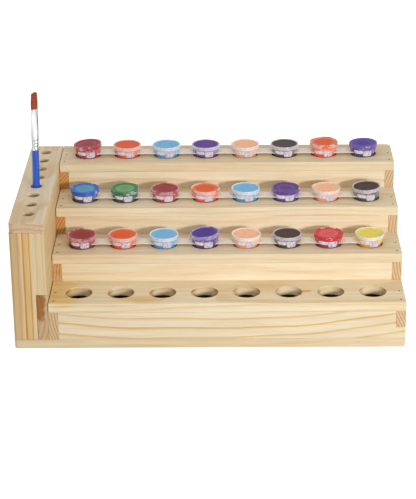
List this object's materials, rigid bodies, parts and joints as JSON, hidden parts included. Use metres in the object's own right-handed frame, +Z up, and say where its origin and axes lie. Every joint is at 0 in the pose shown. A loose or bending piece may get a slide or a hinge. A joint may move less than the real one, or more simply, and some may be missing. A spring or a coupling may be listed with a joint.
{
  "type": "paint rack organizer",
  "caption": "Stepped pine rack with rows of round holes for paint pots, a box with holes for brushes on its left side, strips of lidded pots and one brush.",
  "frame": {"origin": "centre of the footprint, on the surface that the rack stands on", "axes": "+X to the right along the tiers, -Y to the front, +Z up"},
  "size_m": [0.361, 0.208, 0.2184],
  "materials": {
    "pine": "bare sanded pine, matt",
    "pine_pale": "bare sanded pine, matt, paler sapwood",
    "steel_brad": "plain steel brad heads",
    "cup_plastic": "milky translucent polypropylene",
    "paint": "wet acrylic paint, a different colour in each cup",
    "handle_plastic": "glossy blue plastic",
    "ferrule_metal": "bright plated ferrule",
    "bristle": "orange-brown synthetic hair",
    "lid_brick": "translucent lid with dried brick paint inside",
    "lid_cobalt": "translucent lid with dried cobalt paint inside",
    "lid_crimson": "translucent lid with dried crimson paint inside",
    "lid_graphite": "translucent lid with dried graphite paint inside",
    "lid_green": "translucent lid with dried green paint inside",
    "lid_indigo": "translucent lid with dried indigo paint inside",
    "lid_orange": "translucent lid with dried orange paint inside",
    "lid_peach": "translucent lid with dried peach paint inside",
    "lid_red": "translucent lid with dried red paint inside",
    "lid_sky": "translucent lid with dried sky paint inside",
    "lid_umber": "translucent lid with dried umber paint inside",
    "lid_violet": "translucent lid with dried violet paint inside",
    "lid_yellow": "translucent lid with dried yellow paint inside"
  },
  "bodies": {
    "rack": {"base_board": "pine", "left_cheek": "pine", "right_cheek": "pine", "back_panel": "pine_pale", "riser_1": "pine_pale", "riser_2": "pine_pale", "riser_3": "pine_pale", "riser_4": "pine_pale", "shelf_1": "pine", "shelf_2": "pine", "shelf_3": "pine", "shelf_4": "pine", "brush_top": "pine", "brush_front_panel": "pine_pale", "brush_back_panel": "pine_pale", "brush_left_wall": "pine", "brush_right_wall": "pine", "shelf_brads": "steel_brad", "base_brads": "steel_brad"},
    "pot_strip_2": {"cups_2": "cup_plastic", "webs_2": "cup_plastic", "paint_2": "paint"},
    "lid_2_1": {"lid_2_1": "lid_brick"},
    "lid_2_2": {"lid_2_2": "lid_orange"},
    "lid_2_3": {"lid_2_3": "lid_sky"},
    "lid_2_4": {"lid_2_4": "lid_indigo"},
    "lid_2_5": {"lid_2_5": "lid_peach"},
    "lid_2_6": {"lid_2_6": "lid_umber"},
    "lid_2_7": {"lid_2_7": "lid_red"},
    "lid_2_8": {"lid_2_8": "lid_yellow"},
    "pot_strip_3": {"cups_3": "cup_plastic", "webs_3": "cup_plastic", "paint_3": "paint"},
    "lid_3_1": {"lid_3_1": "lid_cobalt"},
    "lid_3_2": {"lid_3_2": "lid_green"},
    "lid_3_3": {"lid_3_3": "lid_crimson"},
    "lid_3_4": {"lid_3_4": "lid_orange"},
    "lid_3_5": {"lid_3_5": "lid_sky"},
    "lid_3_6": {"lid_3_6": "lid_violet"},
    "lid_3_7": {"lid_3_7": "lid_peach"},
    "lid_3_8": {"lid_3_8": "lid_umber"},
    "pot_strip_4": {"cups_4": "cup_plastic", "webs_4": "cup_plastic", "paint_4": "paint"},
    "lid_4_1": {"lid_4_1": "lid_crimson"},
    "lid_4_2": {"lid_4_2": "lid_orange"},
    "lid_4_3": {"lid_4_3": "lid_sky"},
    "lid_4_4": {"lid_4_4": "lid_violet"},
    "lid_4_5": {"lid_4_5": "lid_peach"},
    "lid_4_6": {"lid_4_6": "lid_graphite"},
    "lid_4_7": {"lid_4_7": "lid_orange"},
    "lid_4_8": {"lid_4_8": "lid_indigo"},
    "brush": {"brush_handle": "handle_plastic", "brush_ferrule": "ferrule_metal", "brush_bristles": "bristle"}
  },
  "joints": [
    {"name": "strip_2_lift", "type": "slide", "parent": "rack", "child": "pot_strip_2", "axis": [0, 0, 1], "range_m": [0, 0.03]},
    {"name": "lid_2_1_hinge", "type": "hinge", "parent": "pot_strip_2", "child": "lid_2_1", "pos_m": [-0.1215, -0.0119, 0.0791], "axis": [-1, 0, 0], "range_deg": [0, 105]},
    {"name": "lid_2_2_hinge", "type": "hinge", "parent": "pot_strip_2", "child": "lid_2_2", "pos_m": [-0.0825, -0.0119, 0.0791], "axis": [-1, 0, 0], "range_deg": [0, 105]},
    {"name": "lid_2_3_hinge", "type": "hinge", "parent": "pot_strip_2", "child": "lid_2_3", "pos_m": [-0.0435, -0.0119, 0.0791], "axis": [-1, 0, 0], "range_deg": [0, 105]},
    {"name": "lid_2_4_hinge", "type": "hinge", "parent": "pot_strip_2", "child": "lid_2_4", "pos_m": [-0.0045, -0.0119, 0.0791], "axis": [-1, 0, 0], "range_deg": [0, 105]},
    {"name": "lid_2_5_hinge", "type": "hinge", "parent": "pot_strip_2", "child": "lid_2_5", "pos_m": [0.0345, -0.0119, 0.0791], "axis": [-1, 0, 0], "range_deg": [0, 105]},
    {"name": "lid_2_6_hinge", "type": "hinge", "parent": "pot_strip_2", "child": "lid_2_6", "pos_m": [0.0735, -0.0119, 0.0791], "axis": [-1, 0, 0], "range_deg": [0, 105]},
    {"name": "lid_2_7_hinge", "type": "hinge", "parent": "pot_strip_2", "child": "lid_2_7", "pos_m": [0.1125, -0.0119, 0.0791], "axis": [-1, 0, 0], "range_deg": [0, 105]},
    {"name": "lid_2_8_hinge", "type": "hinge", "parent": "pot_strip_2", "child": "lid_2_8", "pos_m": [0.1515, -0.0119, 0.0791], "axis": [-1, 0, 0], "range_deg": [0, 105]},
    {"name": "strip_3_lift", "type": "slide", "parent": "rack", "child": "pot_strip_3", "axis": [0, 0, 1], "range_m": [0, 0.03]},
    {"name": "lid_3_1_hinge", "type": "hinge", "parent": "pot_strip_3", "child": "lid_3_1", "pos_m": [-0.1215, 0.0401, 0.1056], "axis": [-1, 0, 0], "range_deg": [0, 105]},
    {"name": "lid_3_2_hinge", "type": "hinge", "parent": "pot_strip_3", "child": "lid_3_2", "pos_m": [-0.0825, 0.0401, 0.1056], "axis": [-1, 0, 0], "range_deg": [0, 105]},
    {"name": "lid_3_3_hinge", "type": "hinge", "parent": "pot_strip_3", "child": "lid_3_3", "pos_m": [-0.0435, 0.0401, 0.1056], "axis": [-1, 0, 0], "range_deg": [0, 105]},
    {"name": "lid_3_4_hinge", "type": "hinge", "parent": "pot_strip_3", "child": "lid_3_4", "pos_m": [-0.0045, 0.0401, 0.1056], "axis": [-1, 0, 0], "range_deg": [0, 105]},
    {"name": "lid_3_5_hinge", "type": "hinge", "parent": "pot_strip_3", "child": "lid_3_5", "pos_m": [0.0345, 0.0401, 0.1056], "axis": [-1, 0, 0], "range_deg": [0, 105]},
    {"name": "lid_3_6_hinge", "type": "hinge", "parent": "pot_strip_3", "child": "lid_3_6", "pos_m": [0.0735, 0.0401, 0.1056], "axis": [-1, 0, 0], "range_deg": [0, 105]},
    {"name": "lid_3_7_hinge", "type": "hinge", "parent": "pot_strip_3", "child": "lid_3_7", "pos_m": [0.1125, 0.0401, 0.1056], "axis": [-1, 0, 0], "range_deg": [0, 105]},
    {"name": "lid_3_8_hinge", "type": "hinge", "parent": "pot_strip_3", "child": "lid_3_8", "pos_m": [0.1515, 0.0401, 0.1056], "axis": [-1, 0, 0], "range_deg": [0, 105]},
    {"name": "strip_4_lift", "type": "slide", "parent": "rack", "child": "pot_strip_4", "axis": [0, 0, 1], "range_m": [0, 0.03]},
    {"name": "lid_4_1_hinge", "type": "hinge", "parent": "pot_strip_4", "child": "lid_4_1", "pos_m": [-0.1215, 0.0921, 0.1321], "axis": [-1, 0, 0], "range_deg": [0, 105]},
    {"name": "lid_4_2_hinge", "type": "hinge", "parent": "pot_strip_4", "child": "lid_4_2", "pos_m": [-0.0825, 0.0921, 0.1321], "axis": [-1, 0, 0], "range_deg": [0, 105]},
    {"name": "lid_4_3_hinge", "type": "hinge", "parent": "pot_strip_4", "child": "lid_4_3", "pos_m": [-0.0435, 0.0921, 0.1321], "axis": [-1, 0, 0], "range_deg": [0, 105]},
    {"name": "lid_4_4_hinge", "type": "hinge", "parent": "pot_strip_4", "child": "lid_4_4", "pos_m": [-0.0045, 0.0921, 0.1321], "axis": [-1, 0, 0], "range_deg": [0, 105]},
    {"name": "lid_4_5_hinge", "type": "hinge", "parent": "pot_strip_4", "child": "lid_4_5", "pos_m": [0.0345, 0.0921, 0.1321], "axis": [-1, 0, 0], "range_deg": [0, 105]},
    {"name": "lid_4_6_hinge", "type": "hinge", "parent": "pot_strip_4", "child": "lid_4_6", "pos_m": [0.0735, 0.0921, 0.1321], "axis": [-1, 0, 0], "range_deg": [0, 105]},
    {"name": "lid_4_7_hinge", "type": "hinge", "parent": "pot_strip_4", "child": "lid_4_7", "pos_m": [0.1125, 0.0921, 0.1321], "axis": [-1, 0, 0], "range_deg": [0, 105]},
    {"name": "lid_4_8_hinge", "type": "hinge", "parent": "pot_strip_4", "child": "lid_4_8", "pos_m": [0.1515, 0.0921, 0.1321], "axis": [-1, 0, 0], "range_deg": [0, 105]},
    {"name": "brush_lift", "type": "slide", "parent": "rack", "child": "brush", "axis": [0.0262, 0, 0.9997], "range_m": [0, 0.12]}
  ]
}
